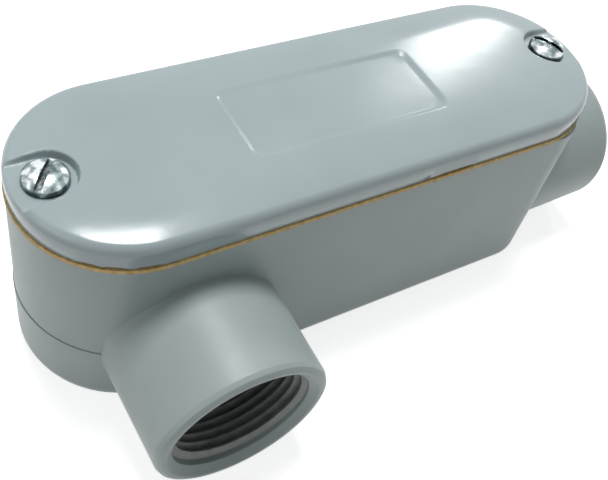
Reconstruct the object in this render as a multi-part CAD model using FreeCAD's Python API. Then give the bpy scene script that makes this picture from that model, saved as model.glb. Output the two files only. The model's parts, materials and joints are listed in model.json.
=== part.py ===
"""LR-type conduit body, 3/4 inch trade size, with its cover, gasket and two cover screws.

The housing is one light-alloy casting: a hollow, boat-shaped body with a threaded hub at one
end and a threaded hub on one side.  A domed cover closes the top over a thin gasket, and two
pan-head screws hold it down.

Frame, in millimetres: the origin lies on the flat back, under the middle of the cover.
+X runs to the end hub, the side hub points to -Y, and +Z is up, towards the cover.
"""
import FreeCAD, Part
import math
import os

V = FreeCAD.Vector
X = V(1, 0, 0)
Y = V(0, 1, 0)
Z = V(0, 0, 1)

# ---- housing casting ---------------------------------------------------------------------
rim_length = 121.6            # rim, gasket and cover, end to end
rim_half_width = 19.7         # their ends are full half circles of this radius
body_depth = 41.6             # flat back to rim
wall = 2.8
hub_axis_height = 17.3        # both hub axes and the parting line of the round end, above the back
wall_draft = 0.4              # each side stands out this much more at the back than at the rim
parting_step = 0.15           # the round end's lower half stands proud by this at the parting line
back_edge_radius = 5.0        # rounding between the walls and the back
end_wall_setback = 7.1       # the end wall lies this far short of the cover's end
end_corner_radius = 8.2       # upright corners of the end wall
flange_lip = 1.2              # upright edge of the rim where it overhangs the end hub
flange_slope = 2.8            # height of the slanted underside below that edge

# ---- hubs --------------------------------------------------------------------------------
hub_root_radius = 17.1
hub_mouth_radius = 16.7
hub_edge_depth = 1.3          # the rim's outer edge is broken in two steps, this deep in all
hub_edge_inset = 1.1          # and this far in
thread_radius = 13.25         # plain wall at the root of the 3/4 inch taper thread
thread_length = 15.0
mouth_edge_radius = 14.8      # wide bevel that leads into the thread
mouth_bevel_depth = 1.3
throat_radius = 10.4          # smooth bushing between thread and wireway
throat_bevel = 1.2            # eases the throat's edge towards the wireway
side_hub_reach = 40.1         # mouth plane from the body's middle plane
side_hub_offset = 35.0        # its axis from the middle of the cover, away from the end hub
end_hub_reach = 74.4          # mouth plane from the middle of the cover

# ---- screws and their bosses -------------------------------------------------------------
screw_setback = 6.2           # each screw's axis from the cover's end
shank_radius = 2.05           # number 8 machine screw
shank_length = 11.2
head_radius = 3.9
head_height = 2.4
head_edge = 0.9               # upright rim of the head
head_crown_radius = 2.2       # flat middle of its top
head_shoulder_radius = 3.4    # where the crown turns down to the rim
head_shoulder_drop = 0.5      # below the flat middle
slot_width = 1.2
slot_depth = 1.1
tap_clearance = 0.06          # radial, screw in its tapped hole
hole_clearance = 0.3          # radial, screw in the cover and gasket
tap_spare_depth = 1.2         # tapped hole below the screw's tip
boss_wall = 2.2               # metal around and below the tapped hole
boss_foot_radius = 1.3        # the post's coned foot narrows to this

# ---- gasket ------------------------------------------------------------------------------
gasket_thickness = 0.8
gasket_overhang = 0.2         # it stands proud of the rim all round

# ---- cover -------------------------------------------------------------------------------
cover_edge_height = 5.6       # cover's underside to the top of its rounded edge
cover_crown = 0.5             # the middle stands this much higher
cover_edge_radius = 2.1
cover_wall = 2.4
cover_land = 3.2              # width of the flat that presses on the gasket
hollow_corner_radius = 10.0   # plan corners of the cover's hollow underside
notch_half_width = 5.2        # U-shaped bays for the screw heads, open at the ends
notch_floor = 4.2             # metal under the screw heads
pad_length = 41.6             # sunk panel in the top
pad_width = 16.8
pad_depth = 0.5
pad_corner_radius = 2.0

# ---- places that follow from the sizes ---------------------------------------------------
rim_end = rim_length / 2
arc_centre = rim_end - rim_half_width
end_wall = rim_end - end_wall_setback
screw_offset = rim_end - screw_setback
gasket_top = body_depth + gasket_thickness
cover_top = gasket_top + cover_edge_height + cover_crown
head_seat = gasket_top + notch_floor
screw_tip = head_seat - shank_length
tap_radius = shank_radius + tap_clearance
tap_bottom = screw_tip - tap_spare_depth
boss_radius = tap_radius + boss_wall
overcut = 1.0                 # cuts run this far past the faces they open


def line(start, end):
    return Part.LineSegment(start, end).toShape()


def arc(start, middle, end):
    return Part.Arc(start, middle, end).toShape()


def stadium_face(radius, centre, height):
    """Two straight sides and a half circle at each end, the rim's outline."""
    def at(x, y):
        return V(x, y, height)

    return Part.Face(Part.Wire([
        arc(at(-centre, radius), at(-centre - radius, 0), at(-centre, -radius)),
        line(at(-centre, -radius), at(centre, -radius)),
        arc(at(centre, -radius), at(centre + radius, 0), at(centre, radius)),
        line(at(centre, radius), at(-centre, radius)),
    ]))


def slab(radius, bottom, top):
    """Level slab of the rim's outline."""
    return stadium_face(radius, arc_centre, bottom).extrude(Z * (top - bottom))


def wall_section(reach, edge, floor, corner, step=0.0, rounded=False):
    """Half section of the body: from its axis out to the wall, as a face in the XZ plane.

    reach is the wall's distance at its upper edge.  The drafted wall runs down to a level floor,
    with a bevelled or a rounded corner between them, and may stand out by a step on the way.
    """
    foot = reach + wall_draft
    parting = reach + wall_draft * (edge - hub_axis_height) / (edge - floor - corner)
    bend = corner * math.sqrt(0.5)
    corner_start = V(foot - corner, 0, floor)
    corner_middle = V(foot - corner + bend, 0, floor + corner - bend)
    corner_end = V(foot, 0, floor + corner)
    outline = [
        line(V(0, 0, edge), V(0, 0, floor)),
        line(V(0, 0, floor), corner_start),
        arc(corner_start, corner_middle, corner_end) if rounded else line(corner_start, corner_end),
    ]
    if step > 0:
        outline.append(line(corner_end, V(parting + step, 0, hub_axis_height)))
        outline.append(line(V(parting + step, 0, hub_axis_height), V(parting, 0, hub_axis_height)))
        outline.append(line(V(parting, 0, hub_axis_height), V(reach, 0, edge)))
    else:
        outline.append(line(corner_end, V(reach, 0, edge)))
    outline.append(line(V(reach, 0, edge), V(0, 0, edge)))
    return Part.Face(Part.Wire(outline))


def boat(inset, floor, edge, step=0.0, rounded=False):
    """Body form drawn in by inset: one wall section carried round the plan.

    The plan is a half circle at -X and a flat end wall with two rounded corners at +X.
    """
    back_edge = back_edge_radius - inset
    round_end = wall_section(rim_half_width - inset, edge, floor, back_edge, step, rounded)
    side = wall_section(rim_half_width - inset, edge, floor, back_edge, 0.0, rounded)
    corner = wall_section(end_corner_radius - inset, edge, floor, back_edge, 0.0, rounded)
    corner_x = end_wall - end_corner_radius
    corner_y = rim_half_width - end_corner_radius
    centre = V(0, 0, 0)

    def placed(face, degrees, place):
        moved = face.copy()
        moved.rotate(centre, Z, degrees)
        moved.translate(place)
        return moved

    left = V(-arc_centre, 0, 0)
    near = V(corner_x, -corner_y, 0)
    far = V(corner_x, corner_y, 0)
    run = X * (corner_x + arc_centre)
    return placed(round_end, 90, left).revolve(left, Z, 180).multiFuse([
        placed(side, -90, left).extrude(run),
        placed(side, 90, left).extrude(run),
        placed(corner, -90, near).revolve(near, Z, 90),
        placed(corner, 0, near).extrude(far - near),
        placed(corner, 0, far).revolve(far, Z, 90),
    ]).removeSplitter()


def turned(profile, origin, axis):
    """Body of revolution: profile points are (distance along the axis, radius)."""
    side = Y if axis.cross(Y).Length > 0.5 else X
    points = [origin + axis * along + side * radius for along, radius in profile]
    face = Part.Face(Part.makePolygon(points + [points[0]]))
    return face.revolve(origin, axis, 360)


def hub_blank(origin, axis, root, reach):
    """Outside of a hub, drafted from its root to its mouth, its rim eased in two steps."""
    return turned([
        (root, 0),
        (root, hub_root_radius),
        (reach - hub_edge_depth, hub_mouth_radius),
        (reach - hub_edge_depth / 3, hub_mouth_radius - hub_edge_inset / 3),
        (reach, hub_mouth_radius - hub_edge_inset),
        (reach, 0),
    ], origin, axis)


def hub_bore(origin, axis, inner_face, reach):
    """Threaded bore, its mouth chamfer, and the smooth throat that opens into the wireway.

    inner_face is where the wireway's wall meets the hub axis.
    """
    thread_end = reach - thread_length
    bell_radius = throat_radius + throat_bevel
    return turned([
        (inner_face - wall_draft, 0),
        (inner_face - wall_draft, bell_radius),
        (inner_face, bell_radius),
        (inner_face + throat_bevel, throat_radius),
        (thread_end, throat_radius),
        (thread_end, thread_radius),
        (reach - mouth_bevel_depth, thread_radius),
        (reach, mouth_edge_radius),
        (reach, 0),
    ], origin, axis)


def screw_boss(x, top):
    """Upright post for a tapped hole, with a coned foot."""
    post_bottom = tap_bottom - boss_wall
    foot_height = boss_radius
    post = Part.makeCylinder(boss_radius, top - post_bottom, V(x, 0, post_bottom))
    foot = Part.makeCone(boss_foot_radius, boss_radius, foot_height, V(x, 0, post_bottom - foot_height))
    return post.fuse(foot)


def end_flange():
    """The rim over the end hub: an upright lip, a slanted underside and a plumb neck."""
    neck = slab(hub_root_radius, hub_axis_height, body_depth)
    lip = slab(rim_half_width, body_depth - flange_lip, body_depth)
    slope = Part.makeCone(hub_root_radius, rim_half_width, flange_slope,
                          V(arc_centre, 0, body_depth - flange_lip - flange_slope))
    return neck.fuse([lip, slope])


def housing():
    side_origin = V(-side_hub_offset, 0, hub_axis_height)
    end_origin = V(0, 0, hub_axis_height)

    side_hub = hub_blank(side_origin, -Y, rim_half_width - wall, side_hub_reach)
    end_hub = hub_blank(end_origin, X, end_wall - wall, end_hub_reach)
    outside = boat(0.0, 0.0, body_depth, step=parting_step, rounded=True)
    for added in (end_flange(), end_hub, side_hub):
        outside = outside.fuse(added)

    wireway = boat(wall, wall, body_depth + overcut)
    wireway = wireway.cut(screw_boss(-screw_offset, body_depth))
    inside = [
        wireway,
        hub_bore(side_origin, -Y, rim_half_width + wall_draft - wall, side_hub_reach),
        hub_bore(end_origin, X, end_wall + wall_draft - wall, end_hub_reach),
    ]
    for x in (-screw_offset, screw_offset):
        inside.append(Part.makeCylinder(tap_radius, body_depth - tap_bottom + overcut, V(x, 0, tap_bottom)))
    return outside.cut(inside).removeSplitter()


def gasket():
    """Thin sheet, cut out over the wireway and punched for the screws."""
    sheet = slab(rim_half_width + gasket_overhang, body_depth, gasket_top)
    window = boat(wall, wall, gasket_top)
    sheet = sheet.cut(window.cut(screw_boss(-screw_offset, gasket_top)))
    for x in (-screw_offset, screw_offset):
        sheet = sheet.cut(Part.makeCylinder(shank_radius + hole_clearance, gasket_thickness,
                                            V(x, 0, body_depth)))
    return sheet.removeSplitter()


def crown_surface(rise, top):
    """Slab whose top is crowned both ways by rise over the cover."""
    across = (rim_half_width ** 2 + (0.5 * rise) ** 2) / rise
    along = (rim_end ** 2 + (0.5 * rise) ** 2) / rise
    barrel_x = Part.makeCylinder(across, 2 * rim_length, V(-rim_length, 0, top - across), X)
    barrel_y = Part.makeCylinder(along, 4 * rim_length, V(0, -2 * rim_length, top - along), Y)
    return barrel_x.common(barrel_y)


def screw_bay(side):
    """U-shaped bay that leaves room for a screw head, open at the cover's end."""
    height = cover_top
    floor = gasket_top + notch_floor
    bay = Part.makeCylinder(notch_half_width, height, V(side * screw_offset, 0, floor))
    run = Part.makeBox(rim_half_width, 2 * notch_half_width, height,
                       V(side * screw_offset, -notch_half_width, floor))
    if side < 0:
        run.translate(V(-rim_half_width, 0, 0))
    return bay.fuse(run)


def cover():
    blank = slab(rim_half_width, gasket_top, cover_top)
    blank = blank.common(crown_surface(cover_crown, cover_top))
    edge = [e for e in blank.Edges if e.BoundBox.ZMin > gasket_top + 0.5 * cover_edge_height]
    blank = blank.makeFillet(cover_edge_radius, edge)

    panel = Part.makeBox(pad_length, pad_width, cover_top, V(-pad_length / 2, -pad_width / 2, cover_top - pad_depth))
    corners = [e for e in panel.Edges if abs(e.tangentAt(e.FirstParameter).z) > 0.9]
    panel = panel.makeFillet(pad_corner_radius, corners)

    # the underside is hollow between two solid ends that carry the screws
    hollow_end = screw_offset - notch_half_width - cover_wall
    hollow_depth = cover_edge_height - cover_wall
    hollow = Part.makeBox(2 * hollow_end, 2 * (rim_half_width - cover_land), hollow_depth,
                          V(-hollow_end, cover_land - rim_half_width, gasket_top))
    corners = [e for e in hollow.Edges if abs(e.tangentAt(e.FirstParameter).z) > 0.9]
    hollow = hollow.makeFillet(hollow_corner_radius, corners)

    cuts = [panel, hollow, screw_bay(-1), screw_bay(1)]
    for x in (-screw_offset, screw_offset):
        cuts.append(Part.makeCylinder(shank_radius + hole_clearance, cover_top, V(x, 0, gasket_top)))
    return blank.cut(cuts).removeSplitter()


def screw(x):
    """Pan-head machine screw with a straight slot, its thread left plain."""
    top = head_seat + head_height
    head = turned([
        (screw_tip, 0),
        (screw_tip, shank_radius),
        (head_seat, shank_radius),
        (head_seat, head_radius),
        (head_seat + head_edge, head_radius),
        (top - head_shoulder_drop, head_shoulder_radius),
        (top, head_crown_radius),
        (top, 0),
    ], V(x, 0, 0), Z)
    slot = Part.makeBox(2 * head_radius, slot_width, slot_depth,
                        V(x - head_radius, -slot_width / 2, top - slot_depth))
    return head.cut(slot)


PARTS = {
    "housing": housing(),
    "gasket": gasket(),
    "cover": cover(),
    "cover_screw_side_hub_end": screw(-screw_offset),
    "cover_screw_end_hub_end": screw(screw_offset),
}

os.makedirs("parts", exist_ok=True)
for name, shape in PARTS.items():
    box = shape.BoundBox
    print(name, "solids", len(shape.Solids), "valid", shape.isValid(), "volume", round(shape.Volume, 1),
          "x", round(box.XMin, 2), round(box.XMax, 2), "y", round(box.YMin, 2), round(box.YMax, 2),
          "z", round(box.ZMin, 2), round(box.ZMax, 2))
    shape.exportStep("parts/" + name + ".step")
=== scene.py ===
import json
import math

import bmesh
import bpy
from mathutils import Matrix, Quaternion, Vector


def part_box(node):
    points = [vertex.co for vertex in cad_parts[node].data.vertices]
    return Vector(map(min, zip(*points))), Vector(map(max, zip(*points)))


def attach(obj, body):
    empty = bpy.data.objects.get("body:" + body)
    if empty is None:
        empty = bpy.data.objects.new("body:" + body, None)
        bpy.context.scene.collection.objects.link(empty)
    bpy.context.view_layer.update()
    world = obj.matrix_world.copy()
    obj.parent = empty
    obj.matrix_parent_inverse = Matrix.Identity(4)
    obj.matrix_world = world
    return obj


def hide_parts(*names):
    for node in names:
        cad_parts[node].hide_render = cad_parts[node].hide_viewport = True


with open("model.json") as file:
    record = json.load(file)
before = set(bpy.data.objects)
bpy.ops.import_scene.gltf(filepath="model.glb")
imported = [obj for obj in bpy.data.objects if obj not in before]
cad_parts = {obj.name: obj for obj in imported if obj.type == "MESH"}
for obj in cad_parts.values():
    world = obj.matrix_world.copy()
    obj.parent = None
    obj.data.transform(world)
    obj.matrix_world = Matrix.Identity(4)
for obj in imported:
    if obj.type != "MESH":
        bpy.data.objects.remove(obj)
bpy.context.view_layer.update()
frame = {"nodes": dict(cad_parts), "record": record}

MM = 0.001

# the places that the looks are built on, all read from the frame
MOUNTS = {m["name"]: m for m in frame["record"]["mounts"]}
JOINTS = {j["name"]: j for j in frame["record"]["behaviour"]["joints"]}
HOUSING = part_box("housing")
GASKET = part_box("gasket")
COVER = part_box("cover")


# ---- materials ---------------------------------------------------------------------------
FLOOR_TONE = 0.70                    # what the floor sends back of the light on it ...
FLOOR_TONE_SPREAD = 0.02
FLOOR_GLOW = 0.78                    # ... and the white it shows by itself


def node_material(name):
    """New material: itself, its node tree, its shader and the object's own coordinates."""
    mat = bpy.data.materials.new(name)
    mat.use_nodes = True
    tree = mat.node_tree
    tree.nodes.clear()
    out = tree.nodes.new("ShaderNodeOutputMaterial")
    shader = tree.nodes.new("ShaderNodeBsdfPrincipled")
    tree.links.new(shader.outputs["BSDF"], out.inputs["Surface"])
    where = tree.nodes.new("ShaderNodeTexCoord")
    return mat, tree, shader, where.outputs["Object"]


def noise(tree, where, scale, detail=3.0, rough=0.5):
    n = tree.nodes.new("ShaderNodeTexNoise")
    n.inputs["Scale"].default_value = scale
    n.inputs["Detail"].default_value = detail
    n.inputs["Roughness"].default_value = rough
    tree.links.new(where, n.inputs["Vector"])
    return n.outputs["Fac"]


def ramp(tree, value, stops):
    """Value turned into a colour through stops of (position, colour)."""
    r = tree.nodes.new("ShaderNodeValToRGB")
    first, last = r.color_ramp.elements[0], r.color_ramp.elements[1]
    first.position, first.color = stops[0][0], (*stops[0][1], 1)
    last.position, last.color = stops[-1][0], (*stops[-1][1], 1)
    for position, colour in stops[1:-1]:
        between = r.color_ramp.elements.new(position)
        between.color = (*colour, 1)
    tree.links.new(value, r.inputs["Fac"])
    return r.outputs["Color"]


def mottled(tree, value, dark, pale):
    """Noise value turned into a colour between two tones."""
    return ramp(tree, value, [(0.3, dark), (0.7, pale)])


def span(tree, value, low, high):
    """Value from 0 to 1 stretched from low to high."""
    m = tree.nodes.new("ShaderNodeMapRange")
    m.inputs["To Min"].default_value = low
    m.inputs["To Max"].default_value = high
    tree.links.new(value, m.inputs["Value"])
    return m.outputs["Result"]


def bump(tree, shader, value, distance, below=None):
    """Relief of the given depth, laid over the normal below."""
    b = tree.nodes.new("ShaderNodeBump")
    b.inputs["Distance"].default_value = distance
    tree.links.new(value, b.inputs["Height"])
    if below is not None:
        tree.links.new(below, b.inputs["Normal"])
    tree.links.new(b.outputs["Normal"], shader.inputs["Normal"])
    return b.outputs["Normal"]


def enamel(name, dark, pale, smoothest, roughest):
    """Light grey enamel over a die casting; it rounds every edge a little."""
    mat, tree, shader, where = node_material(name)
    clouds = noise(tree, where, scale=60.0, detail=2.0)
    tree.links.new(mottled(tree, clouds, dark, pale), shader.inputs["Base Color"])
    sheen = span(tree, noise(tree, where, scale=350.0), smoothest, roughest)
    tree.links.new(sheen, shader.inputs["Roughness"])
    shader.inputs["Specular IOR Level"].default_value = 0.5
    soft = tree.nodes.new("ShaderNodeBevel")
    soft.samples = 6
    soft.inputs["Radius"].default_value = 0.35 * MM
    waves = noise(tree, where, scale=220.0, detail=2.0)
    waved = bump(tree, shader, waves, 0.022 * MM, below=soft.outputs["Normal"])
    grain = noise(tree, where, scale=1400.0, detail=2.0)
    bump(tree, shader, grain, 0.006 * MM, below=waved)
    return mat


def fibre():
    """Tan gasket fibre."""
    mat, tree, shader, where = node_material("fibre")
    fleck = noise(tree, where, scale=900.0, detail=4.0, rough=0.6)
    colour = mottled(tree, fleck, (0.62, 0.40, 0.14), (0.95, 0.70, 0.32))
    tree.links.new(colour, shader.inputs["Base Color"])
    tree.links.new(span(tree, fleck, 0.75, 0.95), shader.inputs["Roughness"])
    bump(tree, shader, fleck, 0.08 * MM)
    return mat


def zinc():
    """Zinc plate on the screws, bright in patches, and darkened in the corners by painted shade."""
    mat, tree, shader, where = node_material("zinc")
    patch = noise(tree, where, scale=520.0, detail=2.0)
    dull, worn, bright = (0.13, 0.17, 0.17), (0.34, 0.41, 0.42), (0.85, 0.90, 0.92)
    colour = ramp(tree, patch, [(0.38, dull), (0.52, worn), (0.62, bright)])
    # painted shade: ambient occlusion darkens the colour in the slot, under the head's rim and in other
    # corners
    corner = tree.nodes.new("ShaderNodeAmbientOcclusion")
    corner.samples = 8
    corner.inputs["Distance"].default_value = 1.6 * MM
    tree.links.new(colour, corner.inputs["Color"])
    tone = tree.nodes.new("ShaderNodeMix")
    tone.data_type = "RGBA"
    tone.blend_type = "MULTIPLY"
    tone.inputs["Factor"].default_value = 0.85
    tree.links.new(corner.outputs["Color"], tone.inputs["A"])
    shade = ramp(tree, corner.outputs["AO"], [(0.45, (0.10, 0.12, 0.14)), (0.95, (1, 1, 1))])
    tree.links.new(shade, tone.inputs["B"])
    tree.links.new(tone.outputs["Result"], shader.inputs["Base Color"])
    shader.inputs["Metallic"].default_value = 1.0
    tree.links.new(span(tree, noise(tree, where, scale=900.0), 0.18, 0.36), shader.inputs["Roughness"])
    bump(tree, shader, patch, 0.12 * MM)
    return mat


def bare():
    """Cut threads: bare alloy, dulled."""
    mat, tree, shader, where = node_material("bare_alloy")
    grain = noise(tree, where, scale=500.0)
    colour = mottled(tree, grain, (0.21, 0.22, 0.215), (0.30, 0.315, 0.305))
    tree.links.new(colour, shader.inputs["Base Color"])
    shader.inputs["Metallic"].default_value = 0.1
    tree.links.new(span(tree, grain, 0.35, 0.5), shader.inputs["Roughness"])
    bump(tree, shader, grain, 0.03 * MM)
    return mat


def seen_or_mirrored(tree):
    """1 for rays from the camera and for those that metal, gloss or glass send on."""
    path = tree.nodes.new("ShaderNodeLightPath")
    total = path.outputs["Is Camera Ray"]
    for kind in ("Is Glossy Ray", "Is Transmission Ray"):
        both = tree.nodes.new("ShaderNodeMath")
        both.operation = "MAXIMUM"
        tree.links.new(total, both.inputs[0])
        tree.links.new(path.outputs[kind], both.inputs[1])
        total = both.outputs[0]
    return total


def paper():
    """White studio floor: part of its white is its own, the rest takes the object's shadow."""
    mat, tree, shader, where = node_material("studio_paper")
    tone = noise(tree, where, scale=8.0, detail=2.0)
    colour = mottled(tree, tone, (FLOOR_TONE,) * 3, (FLOOR_TONE + FLOOR_TONE_SPREAD,) * 3)
    tree.links.new(colour, shader.inputs["Base Color"])
    tree.links.new(span(tree, tone, 0.85, 0.95), shader.inputs["Roughness"])
    shader.inputs["Specular IOR Level"].default_value = 0.0
    bump(tree, shader, tone, 0.1 * MM)
    shader.inputs["Emission Color"].default_value = (1, 1, 1, 1)
    own = tree.nodes.new("ShaderNodeMath")
    own.operation = "MULTIPLY"
    own.inputs[1].default_value = FLOOR_GLOW
    tree.links.new(seen_or_mirrored(tree), own.inputs[0])
    tree.links.new(own.outputs[0], shader.inputs["Emission Strength"])
    return mat


ENAMEL = enamel("enamel", (0.385, 0.455, 0.452), (0.415, 0.487, 0.484), 0.38, 0.50)
COVER_ENAMEL = enamel("cover_enamel", (0.41, 0.495, 0.51), (0.44, 0.53, 0.545), 0.14, 0.18)
FIBRE = fibre()
ZINC = zinc()
BARE = bare()


# ---- meshes ------------------------------------------------------------------------------
def clothe(obj, mat):
    obj.data.materials.clear()
    obj.data.materials.append(mat)


def smooth(obj, degrees):
    """Smooth shading within faces that meet at less than this angle."""
    mesh = obj.data
    mesh.polygons.foreach_set("use_smooth", [True] * len(mesh.polygons))
    mesh.set_sharp_from_angle(angle=math.radians(degrees))
    mesh.update()


def mesh_object(name, points, faces):
    mesh = bpy.data.meshes.new(name)
    mesh.from_pydata([tuple(p) for p in points], [], faces)
    mesh.update()
    obj = bpy.data.objects.new(name, mesh)
    bpy.context.scene.collection.objects.link(obj)
    return obj


def weld(obj):
    """Join points that coincide and turn every face outwards."""
    work = bmesh.new()
    work.from_mesh(obj.data)
    bmesh.ops.remove_doubles(work, verts=work.verts, dist=1e-7)
    bmesh.ops.recalc_face_normals(work, faces=work.faces)
    work.to_mesh(obj.data)
    work.free()
    obj.data.update()


def loops_to_faces(loops, closed):
    """Quads between loops of equally many points, which follow one another in one list."""
    count = len(loops[0])
    faces = []
    for i in range(len(loops) - 1):
        for j in range(count if closed else count - 1):
            a, b = i * count + j, i * count + (j + 1) % count
            faces.append((a, b, b + count, a + count))
    return faces


def join_sheets(sheets):
    """Points and faces of several open sheets, each a list of loops of equally many points."""
    points, faces = [], []
    for loops in sheets:
        start = len(points)
        points.extend(p for loop in loops for p in loop)
        faces.extend(tuple(start + i for i in face) for face in loops_to_faces(loops, closed=False))
    return points, faces


def clamp(t):
    return min(max(t, 0.0), 1.0)


def ease(t):
    """0 to 1 with level ends."""
    t = clamp(t)
    return t * t * (3 - 2 * t)


def blend(start, end, share):
    return start + (end - start) * share


# ---- threads -----------------------------------------------------------------------------
HUB_PITCH = 1.8143 * MM              # 14 threads to the inch
HUB_THREAD = 1.2 * MM                # how far the hub's thread stands inwards
HUB_TAPER = 1 / 32                   # radial, for a taper of 1 in 16 on the diameter
HUB_TURNS = 7
HUB_STEPS = 96                       # stations to a turn
RIDGE_FOOT = 0.49                    # half widths of a thread's ridge, in pitches: at its foot ...
RIDGE_CREST = 0.07                   # ... and at its crest
FOOT_RISE = 0.03                     # the foot's height, as a share of the crest's
RUN_OUT = 0.35                       # the ridge rises and dies away over this part of a turn


def helix(start, run, radius, height, pitch, turns, steps, taper=0.0):
    """Sheet of a ridge wound along run from start; a negative height stands inwards."""
    run = Vector(run).normalized()
    side = Vector((0, 0, 1)) if abs(run.z) < 0.5 else Vector((1, 0, 0))
    other = run.cross(side)
    foot = FOOT_RISE * height
    section = [(-RIDGE_FOOT, 0), (-RIDGE_CREST, 1), (RIDGE_CREST, 1), (RIDGE_FOOT, 0)]
    loops = []
    for i in range(int(turns * steps) + 1):
        turn = i / steps
        angle = turn * 2 * math.pi
        around = side * math.cos(angle) + other * math.sin(angle)
        fade = min(1.0, turn / RUN_OUT, (turns - turn) / RUN_OUT)
        loop = []
        for shift, crest in section:
            along = (turn + 0.5 + shift) * pitch
            reach = foot + crest * ((height - foot) * fade - taper * along)
            loop.append(start + run * along + around * (radius + reach))
        loops.append(loop)
    return loops


def hub_thread(name, mount):
    """The tapered thread in a hub, wound inwards from its mouth."""
    mouth, out = Vector(MOUNTS[mount]["pos_m"]), Vector(MOUNTS[mount]["axis"])
    bore = MOUNTS[mount]["dims"]["r_mm"] * MM
    ridge = helix(mouth, -out, bore, -HUB_THREAD, HUB_PITCH, HUB_TURNS, HUB_STEPS, HUB_TAPER)
    obj = mesh_object(name, *join_sheets([ridge]))
    clothe(obj, BARE)
    smooth(obj, 25)
    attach(obj, "body")


hub_thread("side_hub_thread", "side_hub")
hub_thread("end_hub_thread", "end_hub")

# ---- cover -------------------------------------------------------------------------------
RIM_R = COVER[1].y                   # the cover's outline: half circles of this radius ...
ARC_X = COVER[1].x - RIM_R           # ... round these centres
SCREW_X = JOINTS["screw_turn_end_hub_end"]["pos_m"][0]
CROWN = 0.4 * MM                     # how far the top falls from its middle to its sides
DOME_WIDTH = 9.0 * MM                # the top slopes off gently over this width ...
DOME_DROP = 0.9 * MM
EDGE_WIDTH = 1.3 * MM                # ... and then rolls over into the upright skirt
EDGE_HEIGHT = 1.6 * MM
BAY_HALF = 5.2 * MM                  # bays for the screw heads
BAY_FLOOR = COVER[0].z + 4.2 * MM
BAY_EDGE = 0.24 * MM
HOLLOW = (47.0 * MM, 16.5 * MM)      # half sizes of the hollow underneath
HOLLOW_CORNER = 10.0 * MM
HOLLOW_DEPTH = 3.2 * MM

# the sunk label panel; each pair of depths or slopes is for its side-hub end and its other end
PANEL = (20.8 * MM, 8.4 * MM)                # half length and half width
PANEL_CORNER = 2.0 * MM
PANEL_DEPTH = (0.20 * MM, 0.50 * MM)
PANEL_END_SLOPE = (0.36 * MM, 0.64 * MM)     # half widths of the slopes at its ends ...
PANEL_SIDE_SLOPE = 0.60 * MM                 # ... and along its sides
PANEL_CHANGE = (-0.35, 0.85)                 # it deepens between these shares of its half length

# the skirt's lower edge is broken all round, and cut back where it stands off the gasket
BREAK = 0.20 * MM
GAP_DEPTH = 2.2 * MM
GAP_HEIGHT = 0.55 * MM
GAP_HOLLOW = 0.6                             # a gap's roof arches in and up by this share of both
GAPS_ROUND_END = [(227.0, 235.5), (238.0, 247.5), (252.0, 265.0)]    # degrees round the end
GAP_ALONG_SIDE = (10.7 * MM, 21.7 * MM)
GAP_FADE = 1.5                               # a gap opens over so many degrees, or millimetres

# how closely the mesh follows the form
FINE_TURN = 0.5                      # degrees between stations beside the screw bays ...
BAY_TURN = 42.0                      # ... which lie within this of the end ...
COARSE_TURN = 3.0                    # ... and elsewhere round the ends
COARSE_STEP = 1.8 * MM               # between stations along the sides
PANEL_STRETCH = 0.8 * MM             # either side of a panel end the stations are closer
PANEL_STEPS = 14
EDGE_INSETS = [0.0, 0.02, 0.06, 0.12, 0.2, 0.3, 0.42]    # rings over the rolled edge, mm
INSET_STEP = 0.15                    # then rings this far apart, mm ...
FINE_INSET = 12.2                    # ... to within the panel's long sides ...
INNER_RINGS = 6                      # ... and these to the middle line


def panel_sink(x, y):
    """The label panel: a shallow, flat slope at the side-hub end, deeper and eased at the other."""
    over_x = abs(x) - PANEL[0] + PANEL_CORNER
    over_y = abs(y) - PANEL[1] + PANEL_CORNER
    outside = math.hypot(max(over_x, 0), max(over_y, 0)) + min(max(over_x, over_y), 0) - PANEL_CORNER
    along = ease((x / PANEL[0] - PANEL_CHANGE[0]) / (PANEL_CHANGE[1] - PANEL_CHANGE[0]))
    to_side = max(over_y, 0) / max(max(over_x, 0) + max(over_y, 0), 1e-9)
    slope = blend(blend(*PANEL_END_SLOPE, along), PANEL_SIDE_SLOPE, to_side)
    share = clamp(0.5 - outside / (2 * slope))
    return blend(*PANEL_DEPTH, along) * blend(share, ease(share), along)


def bay_share(x, y):
    """1 within a screw bay, 0 outside, with a softened rim."""
    inwards = SCREW_X - abs(x)
    outside = (math.hypot(inwards, y) if inwards > 0 else abs(y)) - BAY_HALF
    return ease(0.5 - outside / (2 * BAY_EDGE))


def cover_height(x, y, inset):
    """Top of the cover at a place that lies inset from its outline."""
    fall = CROWN * math.hypot((x / COVER[1].x) ** 2, (y / RIM_R) ** 2)
    slope = DOME_DROP * max(0.0, 1 - inset / DOME_WIDTH) ** 2
    edge = EDGE_HEIGHT * (1 - math.sqrt(1 - max(0.0, 1 - inset / EDGE_WIDTH) ** 2))
    z = COVER[1].z - fall - slope - edge - panel_sink(x, y)
    return blend(z, min(z, BAY_FLOOR), bay_share(x, y))


def cover_stations():
    """Places round the outline as (spine x, angle), closer together at the bays and panel ends."""
    sweep = []
    angle = 90.0
    while angle < 270.0:
        sweep.append(angle)
        angle += FINE_TURN if abs(angle - 180.0) < BAY_TURN else COARSE_TURN
    near = PANEL_STRETCH
    bends = [-ARC_X, -PANEL[0] - near, -PANEL[0] + near, PANEL[0] - near, PANEL[0] + near, ARC_X]
    run = []
    for start, end in zip(bends, bends[1:]):
        at_panel_end = end - start < 3 * near
        steps = PANEL_STEPS if at_panel_end else math.ceil((end - start) / COARSE_STEP)
        run += [start + (end - start) * k / steps for k in range(steps)]
    stations = [(-ARC_X, math.radians(a)) for a in sweep]
    stations += [(x, math.radians(270)) for x in run]
    stations += [(ARC_X, math.radians(a + 180)) for a in sweep]
    stations += [(-x, math.radians(90)) for x in run]
    return stations


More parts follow.
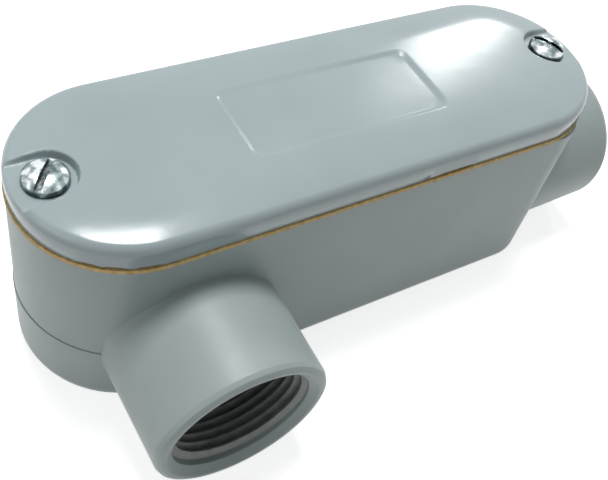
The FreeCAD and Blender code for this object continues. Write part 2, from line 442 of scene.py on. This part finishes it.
def gap_share(spine, angle):
    """1 where the skirt's lower edge stands off the gasket a little, 0 elsewhere."""
    turn = math.degrees(angle)
    runs = [(turn - start, end - turn) for start, end in GAPS_ROUND_END]
    on_near_side = abs(turn - 270.0) < 0.01
    if on_near_side:
        runs.append(((spine - GAP_ALONG_SIDE[0]) / MM, (GAP_ALONG_SIDE[1] - spine) / MM))
    return max(ease(min(run) / GAP_FADE) for run in runs)


def top_loop(stations, inset):
    """A loop of the cover's top, inset from its outline."""
    loop = []
    for spine, angle in stations:
        x = spine + (RIM_R - inset) * math.cos(angle)
        y = (RIM_R - inset) * math.sin(angle)
        loop.append((x, y, cover_height(x, y, inset)))
    return loop


def skirt_loop(stations, inwards, upwards, hollowing=0.0):
    """A loop of the skirt's lower edge: broken all round, and cut back where it has a gap."""
    loop = []
    for spine, angle in stations:
        gap = gap_share(spine, angle)
        depth = blend(BREAK, GAP_DEPTH, gap)
        rise = blend(BREAK, GAP_HEIGHT, gap)
        reach = RIM_R - (inwards + hollowing * gap) * depth
        z = COVER[0].z + (upwards + hollowing * gap) * rise
        loop.append((spine + reach * math.cos(angle), reach * math.sin(angle), z))
    return loop


def hollow_loop(stations, z):
    """A loop of the round-cornered hollow underneath."""
    corner = (HOLLOW[0] - HOLLOW_CORNER, HOLLOW[1] - HOLLOW_CORNER)
    loop = []
    for spine, angle in stations:
        side = min(max(4 * math.sin(angle), -1.0), 1.0)
        x = spine * corner[0] / ARC_X + HOLLOW_CORNER * math.cos(angle)
        loop.append((x, corner[1] * side + HOLLOW_CORNER * math.sin(angle), z))
    return loop


def ring_insets():
    """How far each ring of the top lies in from the outline, in millimetres."""
    insets = list(EDGE_INSETS)
    while insets[-1] < FINE_INSET:
        insets.append(insets[-1] + INSET_STEP)
    outer, inner = insets[-1], RIM_R / MM - insets[-1]
    return insets + [outer + inner * k / INNER_RINGS for k in range(1, INNER_RINGS + 1)]


def cover():
    """The cover casting, from the ceiling of its hollow round its skirt to its middle line."""
    stations = cover_stations()
    base = COVER[0].z
    loops = [hollow_loop(stations, base + HOLLOW_DEPTH), hollow_loop(stations, base),
             skirt_loop(stations, 1.0, 0.0), skirt_loop(stations, 0.3, 0.3, hollowing=GAP_HOLLOW),
             skirt_loop(stations, 0.0, 1.0)]
    loops += [top_loop(stations, inset * MM) for inset in ring_insets()]
    faces = loops_to_faces(loops, closed=True)
    faces.append(tuple(range(len(stations))))
    obj = mesh_object("cover_casting", [p for loop in loops for p in loop], faces)
    weld(obj)
    clothe(obj, COVER_ENAMEL)
    smooth(obj, 50)
    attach(obj, "cover")
    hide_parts("cover")


cover()

# ---- screws ------------------------------------------------------------------------------
HEAD_R = 3.9 * MM
HEAD_EDGE = 0.8 * MM                 # upright rim of the head
HEAD_FLATNESS = 2.4                  # a higher power gives a flatter top and a tighter roll-over
SLOT_HALF = 0.55 * MM
SLOT_DEPTH = 1.05 * MM
LIP = 0.16 * MM                      # the slot's edges are rolled over by this
SHANK_R = 2.04 * MM
SHANK_SIDES = 32
SCREW_THREAD = 0.42 * MM
SCREW_PITCH = 0.794 * MM             # 32 threads to the inch
SCREW_TURNS = 12
CORE_R = SHANK_R - SCREW_THREAD
TIP_CONE = 0.3 * MM                  # height of the coned tip ...
TIP_SHARE = 0.8                      # ... and its end's share of the core's radius
THREAD_START = 0.2 * MM              # the thread starts this far above the tip

# rings of the head, closer together towards its rim, and places round each half ring, closer
# together where the ring meets the slot
HEAD_RINGS = [blend(SLOT_HALF, HEAD_R, 1 - (1 - k / 16) ** 1.7) for k in range(17)]
BY_SLOT = [0, 0.004, 0.012, 0.025, 0.045]
HALF_ROUND = BY_SLOT + [0.08 + 0.84 * k / 20 for k in range(21)] + [1 - s for s in reversed(BY_SLOT)]


def head_height(r, top):
    """Pan head: nearly flat on top, rolled over to its rim."""
    edge = BAY_FLOOR + HEAD_EDGE
    return edge + (top - edge) * math.sqrt(1 - min(r / HEAD_R, 1.0) ** HEAD_FLATNESS)


def head_half(place, hand, top):
    """Sheet of the head on one side of its slot, down to the bay's floor."""
    half = []
    for r in HEAD_RINGS:
        first = math.asin(min(1.0, SLOT_HALF / r))
        loop = []
        for share in HALF_ROUND:
            angle = first + (math.pi - 2 * first) * share
            off_slot = r * math.sin(angle)
            gap = clamp(1 - (off_slot - SLOT_HALF) / LIP)
            z = head_height(r, top) - LIP * (1 - math.sqrt(1 - gap * gap))
            loop.append(place(r * math.cos(angle), hand * off_slot, z))
        half.append(loop)
    half.append([(x, y, BAY_FLOOR) for x, y, z in half[-1]])
    return half


def slot_walls(half, floor_z):
    """Sheets from the slot's edges down to its floor."""
    walls = []
    for end in (0, -1):
        edge = [loop[end] for loop in half[:-1]]
        walls.append([edge, [(x, y, min(z, floor_z)) for x, y, z in edge]])
    return walls


def slot_floor(place, hand, top, floor_z):
    """Sheet of the slot's floor from the head's middle to one end, and down the head's rim."""
    loops = []
    for r in HEAD_RINGS:
        loop = []
        for across in (-SLOT_HALF, -0.5 * SLOT_HALF, 0, 0.5 * SLOT_HALF, SLOT_HALF):
            off_axis = across if r == HEAD_RINGS[-1] else SLOT_HALF
            along = math.sqrt(max(r * r - off_axis * off_axis, 0.0))
            z = min(head_height(math.hypot(along, across), top), floor_z)
            loop.append(place(hand * along, across, z))
        loops.append(loop)
    loops.append([(x, y, BAY_FLOOR) for x, y, z in loops[-1]])
    return loops


def shank(axis, low):
    """Sheet of the head's underside, the core and its tip."""
    turns = [2 * math.pi * k / SHANK_SIDES for k in range(SHANK_SIDES + 1)]
    outline = [(HEAD_R, BAY_FLOOR), (CORE_R, BAY_FLOOR), (CORE_R, low + TIP_CONE),
               (TIP_SHARE * CORE_R, low), (0.0, low)]
    return [[(axis.x + r * math.cos(a), axis.y + r * math.sin(a), z) for a in turns] for r, z in outline]


def screw(name, node, body, degrees):
    """A cover screw in its node's place, its slot turned by so many degrees from X."""
    low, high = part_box(node)
    axis = (low + high) / 2
    cos, sin = math.cos(math.radians(degrees)), math.sin(math.radians(degrees))

    def place(along, across, z):
        return (axis.x + along * cos - across * sin, axis.y + along * sin + across * cos, z)

    sheets = []
    for hand in (1, -1):
        half = head_half(place, hand, high.z)
        sheets += [half, *slot_walls(half, high.z - SLOT_DEPTH)]
        sheets.append(slot_floor(place, hand, high.z, high.z - SLOT_DEPTH))
    sheets.append(shank(axis, low.z))
    foot = Vector((axis.x, axis.y, low.z + THREAD_START))
    sheets.append(helix(foot, (0, 0, 1), CORE_R, SCREW_THREAD, SCREW_PITCH, SCREW_TURNS, SHANK_SIDES))
    obj = mesh_object(name, *join_sheets(sheets))
    weld(obj)
    clothe(obj, ZINC)
    smooth(obj, 38)
    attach(obj, body)
    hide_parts(node)


screw("screw_at_side_hub_end", "cover_screw_side_hub_end", "screw_side_hub_end", 52)
screw("screw_at_end_hub_end", "cover_screw_end_hub_end", "screw_end_hub_end", 118)

# ---- looks of the CAD nodes --------------------------------------------------------------
clothe(frame["nodes"]["housing"], ENAMEL)
clothe(frame["nodes"]["gasket"], FIBRE)

# ---- floor -------------------------------------------------------------------------------
FLOOR_HALF = 3
corners = [(-FLOOR_HALF, -FLOOR_HALF, 0), (FLOOR_HALF, -FLOOR_HALF, 0),
           (FLOOR_HALF, FLOOR_HALF, 0), (-FLOOR_HALF, FLOOR_HALF, 0)]
floor = mesh_object("floor", corners, [(0, 1, 2, 3)])
floor.location.z = HOUSING[0].z
clothe(floor, paper())

# ---- light -------------------------------------------------------------------------------
ROOM_COLOUR = (0.95, 0.98, 1.0, 1)
ROOM = 0.15                          # strength of the room's own light on the object


def background(tree, colour, strength):
    node = tree.nodes.new("ShaderNodeBackground")
    node.inputs["Color"].default_value = colour
    node.inputs["Strength"].default_value = strength
    return node.outputs["Background"]


def studio():
    """Dim room light, with white for what the camera or a gloss sees of the world."""
    world = bpy.data.worlds.new("studio")
    bpy.context.scene.world = world
    world.use_nodes = True
    tree = world.node_tree
    tree.nodes.clear()
    out = tree.nodes.new("ShaderNodeOutputWorld")
    either = tree.nodes.new("ShaderNodeMixShader")
    tree.links.new(seen_or_mirrored(tree), either.inputs["Fac"])
    tree.links.new(background(tree, ROOM_COLOUR, ROOM), either.inputs[1])
    tree.links.new(background(tree, (1, 1, 1, 1), 1.0), either.inputs[2])
    tree.links.new(either.outputs["Shader"], out.inputs["Surface"])


def lamp(name, place, target, size, power, roll=0.0):
    """Soft box aimed at a target and turned about its own axis by roll degrees."""
    data = bpy.data.lights.new(name, "AREA")
    data.shape = "RECTANGLE"
    data.size, data.size_y = size
    data.energy = power
    obj = bpy.data.objects.new(name, data)
    bpy.context.scene.collection.objects.link(obj)
    obj.location = Vector(place)
    obj.rotation_mode = "QUATERNION"
    aim = (Vector(target) - obj.location).to_track_quat("-Z", "Y")
    obj.rotation_quaternion = aim @ Quaternion((0, 0, 1), math.radians(roll))


studio()
# the key gives the long glint at the end hub's end of the cover, the top the one at its near
# end, and the side lights the round end of the housing
lamp("key", (0.62, 0.508, 0.522), target=(0.03, 0, 0.04), size=(0.075, 0.14), power=0.72, roll=-32)
lamp("top", (0.05, 0.20, 0.95), target=(0, 0, 0.03), size=(0.30, 0.27), power=5.8)
lamp("side", (-0.87, -0.12, 0.40), target=(0, 0, 0.02), size=(0.5, 0.5), power=0.82)

# ---- camera ------------------------------------------------------------------------------
# solved from the outline of the body, the rim, the hub mouth and the screws
EYE = (-0.08101, -0.09138)
EYE_OVER_GASKET = 0.10871
GASKET_MID = (GASKET[0].z + GASKET[1].z) / 2

camera = bpy.data.objects.new("camera", bpy.data.cameras.new("camera"))
bpy.context.scene.collection.objects.link(camera)
camera.data.sensor_fit = "HORIZONTAL"
camera.data.sensor_width = 36.0
camera.data.lens = 50.058
camera.data.clip_start = 0.01
camera.location = Vector((*EYE, GASKET_MID + EYE_OVER_GASKET))
camera.rotation_mode = "QUATERNION"
camera.rotation_quaternion = (0.914271, 0.300759, -0.168867, -0.212454)
bpy.context.scene.camera = camera

bpy.context.scene.view_settings.view_transform = "Standard"
